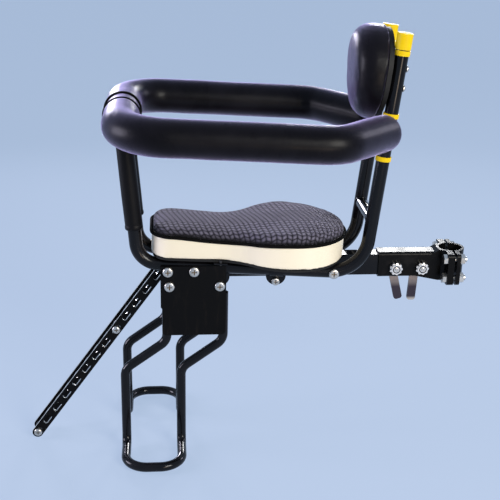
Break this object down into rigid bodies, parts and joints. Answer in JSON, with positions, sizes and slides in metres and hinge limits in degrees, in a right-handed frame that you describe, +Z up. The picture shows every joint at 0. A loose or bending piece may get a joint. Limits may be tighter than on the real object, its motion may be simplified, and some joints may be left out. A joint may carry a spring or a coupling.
{
  "type": "child bike seat",
  "caption": "Child bike seat: padded ring and backrest on a bent tube frame, saddle cushion, footrests, perforated strut and a quick-release seat-post clamp.",
  "frame": {"origin": "centre of the seat-post clamp bore, level with the middle of the arm", "axes": "+Z up along the seat post, +X rearwards, so the child faces -X and the left side is -Y"},
  "size_m": [0.61, 0.302, 0.5893],
  "materials": {
    "frame_black": "gloss black paint",
    "clamp_black": "semi-gloss black powder coat",
    "plate_black": "satin black paint",
    "strut_black": "satin black paint",
    "pad_cover": "glossy black leatherette",
    "sleeve_foam": "black grip sleeve",
    "back_cover": "dark violet-grey leatherette",
    "seat_fabric": "dark grey-violet waffle weave",
    "cream_vinyl": "cream leatherette",
    "base_plastic": "black moulded plastic",
    "yellow_plastic": "bright yellow plastic",
    "nickel_steel": "nickel-plated steel",
    "dark_steel": "black oxide steel",
    "gunmetal": "gunmetal cast lever"
  },
  "bodies": {
    "bracket": {"clamp_bracket": "clamp_black", "rear_jaw": "clamp_black", "clamp_bolts": "nickel_steel", "clamp_nuts": "nickel_steel", "skewer_rods": "nickel_steel", "cam_pins": "nickel_steel", "cam_washers": "dark_steel"},
    "seat": {"arm": "frame_black", "left_frame_tube": "frame_black", "right_frame_tube": "frame_black", "ring_tube": "frame_black", "cross_bar": "frame_black", "left_ring_pad": "pad_cover", "right_ring_pad": "pad_cover", "front_collar": "pad_cover", "left_upright_sleeve": "sleeve_foam", "right_upright_sleeve": "sleeve_foam", "post_caps": "yellow_plastic", "post_bands": "yellow_plastic", "backrest_board": "base_plastic", "backrest_pad": "back_cover", "backrest_screws": "nickel_steel", "seat_pan": "base_plastic", "seat_side_band": "cream_vinyl", "seat_top": "seat_fabric", "pan_clips": "frame_black", "pan_screws": "dark_steel", "left_side_plate": "plate_black", "right_side_plate": "plate_black", "left_footrest": "frame_black", "right_footrest": "frame_black", "through_bolts": "nickel_steel", "through_nuts": "nickel_steel", "rear_cross_bolt": "nickel_steel", "rear_cross_nut": "nickel_steel", "plate_spacers": "dark_steel", "inner_spacers": "dark_steel", "tie_spacer": "dark_steel", "pivot_spacer": "dark_steel", "clip_spacers": "dark_steel", "plate_clip_bolts": "nickel_steel", "rear_clip_bolts": "nickel_steel", "clip_nuts": "nickel_steel"},
    "strut": {"left_strut_strip": "strut_black", "right_strut_strip": "strut_black", "strut_bolts": "nickel_steel", "strut_nuts": "nickel_steel", "strut_spacers": "dark_steel"},
    "front_lever": {"front_qr_lever": "gunmetal"},
    "rear_lever": {"rear_qr_lever": "gunmetal"},
    "front_nut": {"front_lobed_nut": "nickel_steel"},
    "rear_nut": {"rear_lobed_nut": "nickel_steel"}
  },
  "joints": [
    {"name": "arm_slide", "type": "slide", "parent": "bracket", "child": "seat", "axis": [1, 0, 0], "range_m": [-0.075, 0]},
    {"name": "front_lever_hinge", "type": "hinge", "parent": "bracket", "child": "front_lever", "pos_m": [-0.079, 0.0238, -0.004], "axis": [0.9659, 0, 0.2588], "range_deg": [0, 180]},
    {"name": "rear_lever_hinge", "type": "hinge", "parent": "bracket", "child": "rear_lever", "pos_m": [-0.042, 0.0238, -0.004], "axis": [0.9997, 0, -0.0262], "range_deg": [0, 180]},
    {"name": "front_nut_turn", "type": "hinge", "parent": "bracket", "child": "front_nut", "pos_m": [-0.079, -0.013, -0.004], "axis": [0, 1, 0], "continuous": true},
    {"name": "rear_nut_turn", "type": "hinge", "parent": "bracket", "child": "rear_nut", "pos_m": [-0.042, -0.013, -0.004], "axis": [0, 1, 0], "continuous": true},
    {"name": "strut_hinge", "type": "hinge", "parent": "seat", "child": "strut", "pos_m": [-0.395, 0, 0.0085], "axis": [0, 1, 0], "range_deg": [0, 54]}
  ]
}
